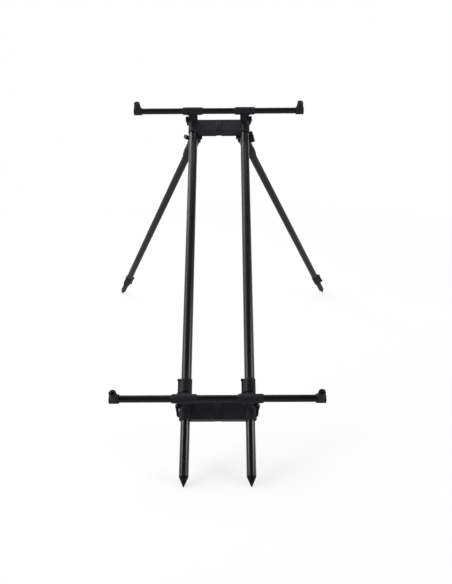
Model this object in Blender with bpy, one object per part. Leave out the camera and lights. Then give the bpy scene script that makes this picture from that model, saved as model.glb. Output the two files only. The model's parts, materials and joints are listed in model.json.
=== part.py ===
"""Fishing rod pod: two sloping telescopic tubes, two cross bars with rod rest sockets, four feet.

Units are metres and degrees. The pod frame has x across, y up along the main tubes and z square to
them, with its origin between the rear tips. It is tilted by TUBE_SLOPE about x to stand on the feet.
"""

import math

import bmesh
import bpy
from mathutils import Matrix, Vector

# Stance
TUBE_SLOPE = 42.4
TUBE_SPACING = 0.160
REAR_CROSSPIECE_AT = 0.180
FRONT_CROSSPIECE_AT = 1.087
FRONT_FEET_SPREAD = 0.860
FRONT_FEET_REACH = 1.263

# Tubes
MAIN_TUBE_RADIUS = 0.013
REAR_TUBE_RADIUS = 0.0115
REAR_TUBE_LENGTH = 0.760
LEG_TUBE_RADIUS = 0.012
LEG_TUBE_LENGTH = 0.774
INNER_LEG_RADIUS = 0.010
INNER_LEG_LENGTH = 0.680
BAR_RADIUS = 0.0088
TUBE_WALL = 0.0012

# Running and seating gaps
FIT = 0.0003
LEVER_GAP = 0.0004

# Spiked feet
SPIKE_LENGTH = 0.024
SPIKE_TIP_RADIUS = 0.0012
SPIKE_COLLAR = 0.002
SPIGOT_LENGTH = 0.018
CAP_THICKNESS = 0.002

# Crosspieces
PLATE_LENGTH = 0.047
PLATE_THICKNESS = 0.0251
PLATE_CORNER = 0.0020
PLATE_OVERLAP = 0.0031
RING_WALL = 0.003
RING_BELOW = 0.0243
RING_CHAMFER = 0.0025
RING_ABOVE = 0.0287
BAND_WIDTH = 0.0215
BAND_HEIGHT = 0.002
BAND_SLOPE = 0.0014
GROOVE_WIDTH = 0.017
GROOVE_DEPTH = 0.003

# Bar holders, measured from the crosspiece centre along the tubes and from the tube axis outwards
HOLDER_AT = 0.0145
BAR_HEIGHT = 0.059
TOWER_RADIUS = 0.014
TOWER_TOP = 0.041
POST_RADIUS = 0.0114
POST_BOTTOM = 0.018
POST_FLANGE_RADIUS = 0.01285
POST_FLANGE = 0.002
SLEEVE_RADIUS = 0.0115
SLEEVE_LENGTH = 0.063
SLEEVE_CHAMFER = 0.0053
SLEEVE_END_RADIUS = 0.0102
WEB_THICKNESS = 0.009
WEB_HALF_WIDTH = 0.0205
WEB_ROOT_DROP = 0.009
WEB_FOOT_HALF_WIDTH = 0.0116

# Cam levers of the bar holders
CAM_PIN_OUT = 0.018
CAM_PIN_BACK = 0.0125
CAM_PIN_RADIUS = 0.0016
CAM_PIN_HEAD = 0.0008
CAM_LUG_RADIUS = 0.005
CAM_LUG_HEIGHT = 0.0115
CAM_LUG_TOP = 0.0387
CAM_LEVER_HEIGHT = 0.0075
CAM_HEAD_RADIUS = 0.0042
CAM_ARM_LENGTH = 0.025
CAM_ARM_TIP_RADIUS = 0.0026
CAM_ARM_TOE_IN = 8.0

# Bars and their end tees
TEE_SPACING = 0.496
TEE_LENGTH = 0.024
TEE_RADIUS = 0.0115
TEE_END_WALL = 0.0024
TEE_LEAN = 12.0
SOCKET_RADIUS = 0.009
SOCKET_HEIGHT = 0.030
INSERT_RADIUS = 0.0062
INSERT_BORE = 0.0044
INSERT_LENGTH = 0.0155
EDGE = 0.0006

# Flip lock collars, measured from the end that holds the thicker tube
COLLAR_LENGTH = 0.042
COLLAR_SEAT = 0.024
COLLAR_WALL = 0.0020
MAIN_COLLAR_AT = 0.262
LEG_COLLAR_TAPER = 0.010
LUG_LENGTH = 0.0057
LUG_RADIUS = 0.0046
KNUCKLE_RADIUS = 0.0030
LOCK_PIN_RADIUS = 0.0016
LOCK_PIN_ANGLE = -11.0
LOCK_LEVER_THICKNESS = 0.0030
LOCK_LEVER_END_ANGLE = -128.0

# Leg hinges, measured from the front crosspiece centre and the tube axes
HINGE_BACK = 0.011
HINGE_DROP = 0.040
HINGE_HALF_SPACING = 0.0785
TONGUE_THICKNESS = 0.0124
TONGUE_RADIUS = 0.013
STOP_RADIUS = 0.0155
STOP_SHOULDER_DROP = 0.0073
FOOT_PLATE_THICKNESS = 0.006
FOOT_PLATE_INNER = 0.053
FOOT_PLATE_OUTER = 0.080
FOOT_PLATE_LENGTH = 0.038
HEAD_RADIUS = 0.0165
HEAD_CHEEK_RADIUS = 0.015
HEAD_CORNER_RADIUS = 0.018
HEAD_SHOULDER = 0.022
HEAD_WAIST_START = 0.034
HEAD_WAIST_AT = 0.046
HEAD_WAIST_RADIUS = 0.0146
HEAD_FLANGE_RADIUS = 0.017
HEAD_NECK_AT = 0.061
HEAD_NECK_RADIUS = 0.0158
HEAD_LENGTH = 0.074
HEAD_SLOT_DEPTH = 0.014
LEG_TUBE_START = 0.028
BOLT_RADIUS = 0.004
BOLT_HEAD_RADIUS = 0.007
BOLT_HEAD = 0.0022
BOLT_THREAD = 0.012
KNOB_HUB_RADIUS = 0.0072
KNOB_LENGTH = 0.0165
KNOB_WING_SPAN = 0.034
KNOB_WING_WIDTH = 0.0115
KNOB_WING_DEPTH = 0.0155
KNOB_WING_CORNER = 0.002
LEFT_KNOB_TURN = 42.0
RIGHT_KNOB_TURN = 47.0

# Facets round a full circle
FINE = 36
ROUND = 20
MEDIUM = 16
SMALL = 12

SMOOTH_BELOW = 32.0

SIDES = (("left", -1), ("right", 1))


def material(name, colour, roughness, metallic):
    """A plain surface of one colour."""
    made = bpy.data.materials.new(name)
    made.use_nodes = True
    shader = made.node_tree.nodes["Principled BSDF"]
    shader.inputs["Base Color"].default_value = (*colour, 1.0)
    shader.inputs["Roughness"].default_value = roughness
    shader.inputs["Metallic"].default_value = metallic
    return made


FINISHES = {
    "gloss_tube": ((0.012, 0.012, 0.014), 0.28, 0.6),
    "satin_tube": ((0.022, 0.022, 0.024), 0.45, 0.3),
    "moulding": ((0.026, 0.027, 0.030), 0.55, 0.0),
    "lever": ((0.012, 0.012, 0.013), 0.5, 0.0),
    "steel": ((0.30, 0.30, 0.31), 0.35, 1.0),
    "dark_steel": ((0.05, 0.05, 0.055), 0.4, 0.9),
    "insert": ((0.035, 0.033, 0.030), 0.4, 0.9),
}


def mesh_from(bm):
    """A closed mesh with its faces outward, from a bmesh that is then freed."""
    bmesh.ops.recalc_face_normals(bm, faces=bm.faces)
    mesh = bpy.data.meshes.new("shape")
    bm.to_mesh(mesh)
    bm.free()
    return mesh


def turned(outline, segments):
    """An outline of (radius, height) points turned about z; it is closed unless it ends on the axis."""
    bm = bmesh.new()
    rings = []
    for radius, height in outline:
        if radius < 1e-9:
            rings.append([bm.verts.new((0.0, 0.0, height))])
            continue
        angles = (math.tau * step / segments for step in range(segments))
        rings.append([bm.verts.new((radius * math.cos(a), radius * math.sin(a), height)) for a in angles])
    ends_on_axis = len(rings[0]) == 1 and len(rings[-1]) == 1
    pairs = list(zip(rings, rings[1:]))
    if not ends_on_axis:
        pairs.append((rings[-1], rings[0]))
    for low, high in pairs:
        for step in range(segments):
            corners = [low[step % len(low)], low[(step + 1) % len(low)]]
            corners += [high[(step + 1) % len(high)], high[step % len(high)]]
            bm.faces.new(list(dict.fromkeys(corners)))
    return mesh_from(bm)


def cylinder(radius, low, high, segments):
    """A solid rod about z."""
    return turned([(0, low), (radius, low), (radius, high), (0, high)], segments)


def pipe(radius, bore, low, high, segments):
    """A hollow rod about z, open at both ends."""
    return turned([(bore, low), (radius, low), (radius, high), (bore, high)], segments)


def extruded(outline, low, high):
    """A flat outline of (x, y) points, raised from low to high along z."""
    bm = bmesh.new()
    face = bm.faces.new([bm.verts.new((x, y, low)) for x, y in outline])
    raised = bmesh.ops.extrude_face_region(bm, geom=[face])
    top = [part for part in raised["geom"] if isinstance(part, bmesh.types.BMVert)]
    bmesh.ops.translate(bm, verts=top, vec=(0, 0, high - low))
    return mesh_from(bm)


def block(x_range, y_range, z_range):
    """A box between two corners."""
    (x0, x1), (y0, y1) = x_range, y_range
    return extruded([(x0, y0), (x1, y0), (x1, y1), (x0, y1)], *z_range)


def arc(centre, radius, start, end, segments):
    """Points on a circle from one angle to another."""
    steps = round(segments * abs(end - start) / 360)
    angles = (math.radians(start + (end - start) * step / steps) for step in range(steps + 1))
    return [(centre[0] + radius * math.cos(a), centre[1] + radius * math.sin(a)) for a in angles]


def rounded_box(width, height, corner):
    """The outline of a box with round corners, about its centre."""
    x, y = width / 2 - corner, height / 2 - corner
    points = []
    for index, (cx, cy) in enumerate(((x, y), (-x, y), (-x, -y), (x, -y))):
        points += arc((cx, cy), corner, 90 * index, 90 * index + 90, SMALL)
    return points


def moved(mesh, matrix):
    """The mesh after a move."""
    mesh.transform(matrix)
    return mesh


def combined(base, others, operation):
    """A base with others joined to it or cut from it, worked in millimetres to merge points finely."""
    body = bpy.data.objects.new("base", moved(base, Matrix.Scale(1000, 4)))
    bpy.context.collection.objects.link(body)
    tools = []
    for other in others:
        tool = bpy.data.objects.new("tool", moved(other, Matrix.Scale(1000, 4)))
        bpy.context.collection.objects.link(tool)
        tools.append(tool)
        step = body.modifiers.new("step", "BOOLEAN")
        step.operation = operation
        step.solver = "MANIFOLD"
        step.object = tool
    ready = body.evaluated_get(bpy.context.evaluated_depsgraph_get())
    result = bpy.data.meshes.new_from_object(ready)
    for used in [body, *tools]:
        bpy.data.objects.remove(used)
    return moved(result, Matrix.Scale(0.001, 4))


def joined(base, *others):
    return combined(base, others, "UNION")


def cut(base, *others):
    return combined(base, others, "DIFFERENCE")


def common(base, *others):
    return combined(base, others, "INTERSECT")


def node(name, mesh, frame, finish):
    """One named piece, placed by its own frame."""
    shade = mesh.copy()
    shade.name = name
    shade.materials.clear()
    shade.materials.append(material(name, *FINISHES[finish]))
    shade.shade_smooth()
    shade.set_sharp_from_angle(angle=math.radians(SMOOTH_BELOW))
    made = bpy.data.objects.new(name, shade)
    bpy.context.collection.objects.link(made)
    made.matrix_world = frame
    return made


def at(x, y, z):
    return Matrix.Translation((x, y, z))


def turn(degrees, axis):
    return Matrix.Rotation(math.radians(degrees), 4, axis)


def frame_of(origin, x_axis, y_axis, z_axis):
    """The placing with the given origin and axes."""
    return Matrix.Translation(origin) @ Matrix((x_axis, y_axis, z_axis)).transposed().to_4x4()


# Local z of a turned piece laid up the tubes, down the tubes, or across them
UP_TUBE = turn(-90, "X")
DOWN_TUBE = turn(90, "X") @ turn(180, "Z")
ACROSS = turn(90, "Y")

# Local x, y and z of a flat outline stood up to face y, or facing x
FACING_BACK = turn(90, "X")
FACING_SIDE = Matrix(((0, 0, 1, 0), (1, 0, 0, 0), (0, 1, 0, 0), (0, 0, 0, 1)))

# The origin is under the middle of the four feet
POD = at(0, -FRONT_FEET_REACH / 2, SPIKE_TIP_RADIUS) @ turn(TUBE_SLOPE, "X")
FRONT = POD @ at(0, FRONT_CROSSPIECE_AT, 0)
REAR = POD @ at(0, REAR_CROSSPIECE_AT, 0)
HALF_SPACING = TUBE_SPACING / 2


def spike(tube_radius):
    """A pointed foot about z with its tip at z = 0 and its spigot above, in the tube's end."""
    cone = SPIKE_LENGTH - SPIKE_COLLAR
    collar = SPIKE_LENGTH - FIT
    spigot = tube_radius - TUBE_WALL - FIT
    spigot_end = SPIKE_LENGTH + SPIGOT_LENGTH
    slope = math.degrees(math.asin((tube_radius - SPIKE_TIP_RADIUS) / cone))
    outline = arc((0, 0), SPIKE_TIP_RADIUS, -90, -slope, MEDIUM)
    outline += [(tube_radius, cone), (tube_radius, collar)]
    outline += [(spigot, collar), (spigot, spigot_end), (0, spigot_end)]
    return turned(outline, ROUND)


def crosspiece(tube_radius):
    """A plate between two bored rings, with a tower and a lever lug over each ring.

    Both crosspieces have one outside, and only the bores follow the tubes.
    """
    ring = MAIN_TUBE_RADIUS + RING_WALL
    bore = tube_radius + FIT
    section = rounded_box(PLATE_LENGTH, PLATE_THICKNESS, PLATE_CORNER)
    plate_end = HALF_SPACING - PLATE_OVERLAP
    body = moved(extruded(section, -plate_end, plate_end), FACING_SIDE)

    top = PLATE_THICKNESS / 2
    half = BAND_WIDTH / 2
    band = [(-half, top - BAND_HEIGHT), (half, top - BAND_HEIGHT)]
    band += [(half - BAND_SLOPE, top + BAND_HEIGHT), (BAND_SLOPE - half, top + BAND_HEIGHT)]
    band_length = PLATE_LENGTH / 2 - PLATE_CORNER - EDGE
    joins = [moved(extruded(band, -band_length, band_length), FACING_BACK)]

    cuts = [block((-GROOVE_WIDTH / 2, GROOVE_WIDTH / 2), (-PLATE_LENGTH, PLATE_LENGTH),
                  (-PLATE_THICKNESS, GROOVE_DEPTH - top))]
    for _, side in SIDES:
        axis = at(side * HALF_SPACING, 0, 0)
        wall = [(0, -RING_BELOW), (ring - RING_CHAMFER, -RING_BELOW), (ring, RING_CHAMFER - RING_BELOW),
                (ring, RING_ABOVE), (0, RING_ABOVE)]
        joins.append(moved(turned(wall, ROUND), axis @ UP_TUBE))
        cuts.append(moved(cylinder(bore, -2 * RING_BELOW, 2 * RING_ABOVE, ROUND), axis @ UP_TUBE))
        tower = at(side * HALF_SPACING, HOLDER_AT, 0)
        joins.append(moved(cylinder(TOWER_RADIUS, -bore / 2, TOWER_TOP, ROUND), tower))
        cuts.append(moved(cylinder(POST_RADIUS + FIT, POST_BOTTOM - FIT, 2 * TOWER_TOP, ROUND), tower))
        ear = tower @ turn(math.degrees(math.atan2(-CAM_PIN_BACK, side * CAM_PIN_OUT)), "Z")
        reach = math.hypot(CAM_PIN_OUT, CAM_PIN_BACK)
        low = CAM_LUG_TOP - CAM_LUG_HEIGHT
        lug = arc((reach, 0), CAM_LUG_RADIUS, -90, 90, MEDIUM)
        lug += [(POST_RADIUS / 2, CAM_LUG_RADIUS), (POST_RADIUS / 2, -CAM_LUG_RADIUS)]
        joins.append(moved(extruded(lug, low, CAM_LUG_TOP), ear))
        hole = cylinder(CAM_PIN_RADIUS + FIT, low + FIT, TOWER_TOP, SMALL)
        cuts.append(moved(hole, ear @ at(reach, 0, 0)))
    return cut(joined(body, *joins), *cuts)


def bar_holder():
    """A sleeve for the bar on a post, about the bar's axis, with the post along -z."""
    half, bore = SLEEVE_LENGTH / 2, BAR_RADIUS + FIT
    straight = half - SLEEVE_CHAMFER
    sleeve = moved(turned([(0, -half), (SLEEVE_END_RADIUS, -half), (SLEEVE_RADIUS, -straight),
                           (SLEEVE_RADIUS, straight), (SLEEVE_END_RADIUS, half), (0, half)], ROUND), ACROSS)
    flange_low = TOWER_TOP + FIT - BAR_HEIGHT
    flange_high = flange_low + POST_FLANGE
    post = turned([(0, POST_BOTTOM - BAR_HEIGHT), (POST_RADIUS, POST_BOTTOM - BAR_HEIGHT),
                   (POST_RADIUS, flange_low), (POST_FLANGE_RADIUS, flange_low),
                   (POST_FLANGE_RADIUS, flange_high), (POST_RADIUS, flange_high),
                   (POST_RADIUS, 0), (0, 0)], ROUND)
    foot = flange_high - POST_FLANGE / 2
    web = [(-WEB_HALF_WIDTH, -WEB_ROOT_DROP), (-WEB_FOOT_HALF_WIDTH, foot), (WEB_FOOT_HALF_WIDTH, foot),
           (WEB_HALF_WIDTH, -WEB_ROOT_DROP), (WEB_HALF_WIDTH, 0), (-WEB_HALF_WIDTH, 0)]
    web = moved(extruded(web, -WEB_THICKNESS / 2, WEB_THICKNESS / 2), FACING_BACK)
    body = joined(sleeve, post, web)
    return cut(body, moved(cylinder(bore, -SLEEVE_LENGTH, SLEEVE_LENGTH, ROUND), ACROSS))


def cam_lever(side):
    """A lever about its pin on z, with its arm along -y and toed in."""
    toe_in = math.radians(CAM_ARM_TOE_IN)
    tip = (-side * CAM_ARM_LENGTH * math.sin(toe_in), -CAM_ARM_LENGTH * math.cos(toe_in))
    outline = arc((0, 0), CAM_HEAD_RADIUS, 0, 180, MEDIUM) + arc(tip, CAM_ARM_TIP_RADIUS, 180, 360, SMALL)
    arm = extruded(outline, 0, CAM_LEVER_HEIGHT)
    return cut(arm, cylinder(CAM_PIN_RADIUS + FIT, -CAM_LEVER_HEIGHT, 2 * CAM_LEVER_HEIGHT, SMALL))


def cam_pin():
    """The lever's pin, from inside the lug to its head over the lever."""
    low = 2 * FIT - CAM_LUG_HEIGHT
    high = CAM_LEVER_HEIGHT + 2 * FIT
    head = CAM_HEAD_RADIUS - 2 * EDGE
    return turned([(0, low), (CAM_PIN_RADIUS, low), (CAM_PIN_RADIUS, high), (head, high),
                   (head, high + CAM_PIN_HEAD), (0, high + CAM_PIN_HEAD)], SMALL)


def tee(side):
    """A blind barrel on the bar's end about x, with a leaning socket for a rod rest."""
    half = TEE_LENGTH / 2
    rim = TEE_RADIUS - EDGE
    barrel = turned([(0, -half), (rim, -half), (TEE_RADIUS, EDGE - half), (TEE_RADIUS, half - EDGE),
                     (rim, half), (0, half)], ROUND)
    lean = turn(-TEE_LEAN, "X")
    lip = SOCKET_RADIUS - EDGE
    socket = turned([(0, 0), (SOCKET_RADIUS, 0), (SOCKET_RADIUS, SOCKET_HEIGHT - EDGE),
                     (lip, SOCKET_HEIGHT), (0, SOCKET_HEIGHT)], MEDIUM)
    seat = SOCKET_HEIGHT - INSERT_LENGTH - 2 * FIT
    hole = cylinder(INSERT_RADIUS + FIT, seat, 2 * SOCKET_HEIGHT, MEDIUM)
    bore = cylinder(BAR_RADIUS + FIT, -TEE_LENGTH, half - TEE_END_WALL, MEDIUM)
    along_bar = turn(side * 90, "Y")
    body = joined(moved(barrel, along_bar), moved(socket, lean))
    return cut(body, moved(bore, along_bar), moved(hole, lean))


def tee_insert():
    """The threaded bush in a tee's socket, about z."""
    high = SOCKET_HEIGHT - FIT
    return pipe(INSERT_RADIUS, INSERT_BORE, high - INSERT_LENGTH, high, MEDIUM)


def collar_radius(tube_radius):
    return tube_radius + COLLAR_WALL


def lock_pin_at(tube_radius):
    """The lock pin's place beside a collar, as (x, y)."""
    reach = collar_radius(tube_radius) + LEVER_GAP + KNUCKLE_RADIUS
    angle = math.radians(LOCK_PIN_ANGLE)
    return reach * math.cos(angle), reach * math.sin(angle)


def lock_collar(tube_radius, inner_radius, taper):
    """A collar about z that holds a tube's end at the bottom and guides the thinner tube above."""
    outer = collar_radius(tube_radius)
    seat, guide = tube_radius + FIT, inner_radius + FIT
    outline = [(0, 0), (outer, 0), (outer, COLLAR_LENGTH)]
    if taper:
        outline += [(guide + TUBE_WALL, COLLAR_LENGTH + taper)]
    outline += [(0, COLLAR_LENGTH + taper)]
    pin = lock_pin_at(tube_radius)
    lugs = []
    for low in (0, COLLAR_LENGTH - LUG_LENGTH):
        ear = cylinder(LUG_RADIUS, low, low + LUG_LENGTH, SMALL)
        lugs.append(moved(ear, at(*pin, 0)))
    body = joined(turned(outline, ROUND), *lugs)
    inside = turned([(0, -COLLAR_LENGTH), (seat, -COLLAR_LENGTH), (seat, COLLAR_SEAT + FIT),
                     (guide, COLLAR_SEAT + FIT), (guide, 2 * COLLAR_LENGTH), (0, 2 * COLLAR_LENGTH)], ROUND)
    hole = moved(cylinder(LOCK_PIN_RADIUS + FIT, -COLLAR_LENGTH, 2 * COLLAR_LENGTH, SMALL), at(*pin, 0))
    return cut(body, inside, hole)


def lock_lever(tube_radius):
    """The curved lever that wraps a collar, about its pin."""
    low, high = LUG_LENGTH + FIT, COLLAR_LENGTH - LUG_LENGTH - FIT
    inner = collar_radius(tube_radius) + LEVER_GAP
    outer = inner + LOCK_LEVER_THICKNESS
    outline = arc((0, 0), inner, LOCK_PIN_ANGLE, LOCK_LEVER_END_ANGLE, FINE)
    outline += arc((0, 0), outer, LOCK_LEVER_END_ANGLE, LOCK_PIN_ANGLE, FINE)
    pin = lock_pin_at(tube_radius)
    shell = moved(extruded(outline, low, high), at(-pin[0], -pin[1], 0))
    body = joined(shell, cylinder(KNUCKLE_RADIUS, low, high, SMALL))
    return cut(body, cylinder(LOCK_PIN_RADIUS + FIT, -COLLAR_LENGTH, 2 * COLLAR_LENGTH, SMALL))


def lock_pin():
    return cylinder(LOCK_PIN_RADIUS, FIT, COLLAR_LENGTH - FIT, SMALL)


class Leg:
    """The frames and lengths of one front leg."""

    def __init__(self, side):
        self.pivot = FRONT @ Vector((side * HINGE_HALF_SPACING, -HINGE_BACK, -HINGE_DROP))
        foot = Vector((side * FRONT_FEET_SPREAD / 2, FRONT_FEET_REACH / 2, SPIKE_TIP_RADIUS))
        self.length = (foot - self.pivot).length
        down = (foot - self.pivot).normalized()
        up_tube = (POD.to_3x3() @ Vector((0, 1, 0))).normalized()
        self.axis = down.cross(up_tube).normalized()
        self.frame = frame_of(self.pivot, self.axis, down.cross(self.axis), down)
        self.bracket = frame_of(self.pivot, self.axis, up_tube, self.axis.cross(up_tube))
        self.fold = math.degrees(down.angle(-up_tube))
        outward = self.axis * side
        self.bolt = frame_of(self.pivot, up_tube, outward.cross(up_tube), outward)
        self.collar = LEG_TUBE_START + LEG_TUBE_LENGTH - COLLAR_SEAT
        self.inner_end = self.length - SPIKE_LENGTH


def hinge_bracket(side, leg):
    """A tongue under a foot plate, with a stop corner that the spread leg's slot floor rests on."""
    to_pod = FRONT.inverted() @ leg.bracket
    spread = leg.fold + 180
    stop = math.radians(spread) + math.acos((HEAD_SLOT_DEPTH - FIT) / STOP_RADIUS)
    outline = [(TONGUE_RADIUS, HINGE_DROP), (-TONGUE_RADIUS, HINGE_DROP)]
    outline += arc((0, 0), TONGUE_RADIUS, 180, spread, FINE)
    outline += [(STOP_RADIUS * math.cos(stop), STOP_RADIUS * math.sin(stop))]
    outline += [(TONGUE_RADIUS, -STOP_SHOULDER_DROP)]
    half = TONGUE_THICKNESS / 2
    tongue = moved(extruded(outline, -half, half), to_pod @ FACING_SIDE)
    top = -PLATE_THICKNESS / 2 - FIT
    inner, outer = side * FOOT_PLATE_INNER, side * FOOT_PLATE_OUTER
    plate = block((min(inner, outer), max(inner, outer)),
                  (-FOOT_PLATE_LENGTH / 2 - HINGE_BACK, FOOT_PLATE_LENGTH / 2 - HINGE_BACK),
                  (top - FOOT_PLATE_THICKNESS, top + HINGE_DROP))
    above = block((-TUBE_SPACING, TUBE_SPACING), (-PLATE_LENGTH, PLATE_LENGTH),
                  (top, top + 2 * HINGE_DROP))
    ring = cylinder(MAIN_TUBE_RADIUS + RING_WALL + FIT, -TUBE_SPACING, TUBE_SPACING, ROUND)
    ring = moved(ring, at(side * HALF_SPACING, 0, 0) @ UP_TUBE)
    hole = moved(cylinder(BOLT_RADIUS + FIT, -TONGUE_RADIUS, TONGUE_RADIUS, SMALL), to_pod @ ACROSS)
    return cut(joined(tongue, plate), above, ring, hole)


def leg_head(leg):
    """The forked top of a leg about z, with its pivot across x."""
    cheeks = arc((0, 0), HEAD_CHEEK_RADIUS, 0, -180, FINE)
    cheeks += [(-HEAD_CHEEK_RADIUS, HEAD_SHOULDER), (HEAD_CHEEK_RADIUS, HEAD_SHOULDER)]
    fork = moved(extruded(cheeks, -HEAD_RADIUS, HEAD_RADIUS), FACING_SIDE)
    fork = common(fork, cylinder(HEAD_CORNER_RADIUS, -2 * HEAD_RADIUS, HEAD_LENGTH, FINE))
    neck = [(0, HEAD_SLOT_DEPTH), (HEAD_RADIUS, HEAD_SLOT_DEPTH), (HEAD_RADIUS, HEAD_WAIST_START)]
    neck += [(HEAD_WAIST_RADIUS, HEAD_WAIST_AT), (HEAD_FLANGE_RADIUS, HEAD_WAIST_AT + 2 * EDGE)]
    neck += [(HEAD_NECK_RADIUS, HEAD_NECK_AT), (LEG_TUBE_RADIUS + 2 * TUBE_WALL, HEAD_LENGTH), (0, HEAD_LENGTH)]
    body = joined(fork, turned(neck, ROUND))
    slot = TONGUE_THICKNESS / 2 + FIT
    gap = block((-slot, slot), (-2 * HEAD_RADIUS, 2 * HEAD_RADIUS), (-2 * HEAD_RADIUS, HEAD_SLOT_DEPTH))
    seat = cylinder(LEG_TUBE_RADIUS + FIT, LEG_TUBE_START - FIT, 2 * HEAD_LENGTH, ROUND)
    hole = moved(cylinder(BOLT_RADIUS + FIT, -2 * HEAD_RADIUS, 2 * HEAD_RADIUS, SMALL), ACROSS)
    return cut(body, gap, seat, hole)


def hinge_bolt():
    """The hinge bolt about z, head inboard, threaded end outboard."""
    low = -HEAD_RADIUS - FIT
    high = HEAD_RADIUS + BOLT_THREAD
    return turned([(0, low - BOLT_HEAD), (BOLT_HEAD_RADIUS - EDGE, low - BOLT_HEAD),
                   (BOLT_HEAD_RADIUS, low - BOLT_HEAD + EDGE), (BOLT_HEAD_RADIUS, low),
                   (BOLT_RADIUS, low), (BOLT_RADIUS, high), (0, high)], SMALL)


def wing_knob():
    """The winged knob screwed on the hinge bolt about z, with its wings along x."""
    low = HEAD_RADIUS + FIT
    high = low + KNOB_LENGTH
    hub = cylinder(KNOB_HUB_RADIUS, low, high, MEDIUM)
    outline = rounded_box(KNOB_WING_SPAN, KNOB_WING_WIDTH, KNOB_WING_CORNER)
    wings = extruded(outline, high - KNOB_WING_DEPTH, high - EDGE)
    hole = cylinder(BOLT_RADIUS + FIT, 0, HEAD_RADIUS + BOLT_THREAD + FIT, SMALL)
    return cut(joined(hub, wings), hole)


def end_cap():
    """A plug about z for the top end of a main tube."""
    spigot = MAIN_TUBE_RADIUS - TUBE_WALL - FIT
    rim = MAIN_TUBE_RADIUS - EDGE
    return turned([(0, -SPIGOT_LENGTH), (spigot, -SPIGOT_LENGTH), (spigot, FIT),
                   (MAIN_TUBE_RADIUS, FIT), (MAIN_TUBE_RADIUS, CAP_THICKNESS - EDGE),
                   (rim, CAP_THICKNESS), (0, CAP_THICKNESS)], ROUND)


def build_crosspieces():
    node("front_crosspiece", crosspiece(MAIN_TUBE_RADIUS), FRONT, "moulding")
    node("rear_crosspiece", crosspiece(REAR_TUBE_RADIUS), REAR, "moulding")


def build_bar_holders(name, place):
    """The two holders of one bar with their cam levers and pins."""
    for word, side in SIDES:
        post = at(side * HALF_SPACING, HOLDER_AT, BAR_HEIGHT)
        node(f"{name}_{word}_bar_holder", bar_holder(), place @ post, "moulding")
        pin = at(side * (HALF_SPACING + CAM_PIN_OUT), HOLDER_AT - CAM_PIN_BACK, CAM_LUG_TOP + FIT)
        node(f"{name}_{word}_cam_lever", cam_lever(side), place @ pin, "lever")
        node(f"{name}_{word}_cam_pin", cam_pin(), place @ pin, "steel")


def build_bar(name, place):
    """One bar with its two tees and their threaded inserts."""
    axis = place @ at(0, HOLDER_AT, BAR_HEIGHT)
    half = TEE_SPACING / 2 + TEE_LENGTH / 2 - TEE_END_WALL - FIT
    bar = pipe(BAR_RADIUS, BAR_RADIUS - TUBE_WALL, -half, half, MEDIUM)
    node(f"{name}_bar", bar, axis @ ACROSS, "gloss_tube")
    for word, side in SIDES:
        end = axis @ at(side * TEE_SPACING / 2, 0, 0)
        node(f"{name}_{word}_tee", tee(side), end, "moulding")
        node(f"{name}_{word}_tee_insert", tee_insert(), end @ turn(-TEE_LEAN, "X"), "insert")


def build_main_tubes():
    """The two main tubes with their top plugs and flip lock collars."""
    low = MAIN_COLLAR_AT - COLLAR_SEAT
    high = FRONT_CROSSPIECE_AT + RING_ABOVE - CAP_THICKNESS
    for word, side in SIDES:
        axis = at(side * HALF_SPACING, 0, 0)
        tube = pipe(MAIN_TUBE_RADIUS, MAIN_TUBE_RADIUS - TUBE_WALL, 0, high - low, ROUND)
        node(f"{word}_main_tube", tube, POD @ axis @ at(0, low, 0) @ UP_TUBE, "gloss_tube")
        collar = POD @ axis @ at(0, MAIN_COLLAR_AT, 0) @ DOWN_TUBE
        shape = lock_collar(MAIN_TUBE_RADIUS, REAR_TUBE_RADIUS, 0)
        node(f"{word}_main_lock_collar", shape, collar, "moulding")
        hinge = collar @ at(*lock_pin_at(MAIN_TUBE_RADIUS), 0)
        node(f"{word}_main_lock_lever", lock_lever(MAIN_TUBE_RADIUS), hinge, "lever")
        node(f"{word}_main_lock_pin", lock_pin(), hinge, "steel")
        node(f"{word}_main_tube_cap", end_cap(), POD @ axis @ at(0, high, 0) @ UP_TUBE, "lever")


def build_rear_legs():
    """The thin tubes that slide in the main tubes, with their spikes."""
    for word, side in SIDES:
        foot = POD @ at(side * HALF_SPACING, 0, 0) @ UP_TUBE
        tube = pipe(REAR_TUBE_RADIUS, REAR_TUBE_RADIUS - TUBE_WALL, 0, REAR_TUBE_LENGTH, ROUND)
        node(f"{word}_rear_leg_tube", tube, foot @ at(0, 0, SPIKE_LENGTH), "gloss_tube")
        node(f"{word}_rear_spike", spike(REAR_TUBE_RADIUS), foot, "dark_steel")


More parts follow.
